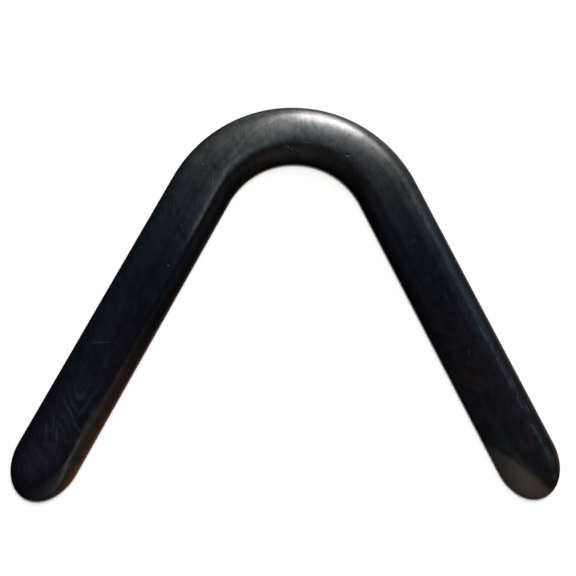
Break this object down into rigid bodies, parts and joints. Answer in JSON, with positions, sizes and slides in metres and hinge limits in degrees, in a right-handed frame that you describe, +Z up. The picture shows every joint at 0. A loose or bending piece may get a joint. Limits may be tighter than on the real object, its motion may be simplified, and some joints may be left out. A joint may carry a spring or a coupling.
{
  "type": "returning boomerang",
  "caption": "Right-handed returning boomerang: a wide V with a rounded elbow, aerofoil arms and rounded tips, shaped from thin-veneer plywood and stained black.",
  "frame": {"origin": "centre of the bounding box in plan, on the flat underside", "axes": "+X along the span towards the right-hand arm, +Y towards the elbow, +Z up out of the shaped face"},
  "size_m": [0.4406, 0.3154, 0.008],
  "materials": {
    "face_veneer": "black stain under semi-gloss lacquer",
    "longband_veneer": "black-stained edge under semi-gloss lacquer",
    "crossband_veneer": "black-stained end grain under semi-gloss lacquer",
    "back_veneer": "black stain under semi-gloss lacquer"
  },
  "bodies": {
    "root": {"ply_01_underside_veneer": "back_veneer", "ply_02_crossband": "crossband_veneer", "ply_03_longband": "longband_veneer", "ply_04_crossband": "crossband_veneer", "ply_05_longband": "longband_veneer", "ply_06_crossband": "crossband_veneer", "ply_07_longband": "longband_veneer", "ply_08_centre_crossband": "crossband_veneer", "ply_09_centre_crossband": "crossband_veneer", "ply_10_longband": "longband_veneer", "ply_11_crossband": "crossband_veneer", "ply_12_longband": "longband_veneer", "ply_13_crossband": "crossband_veneer", "ply_14_longband": "longband_veneer", "ply_15_crossband": "crossband_veneer", "ply_16_top_veneer": "face_veneer"}
  },
  "joints": []
}
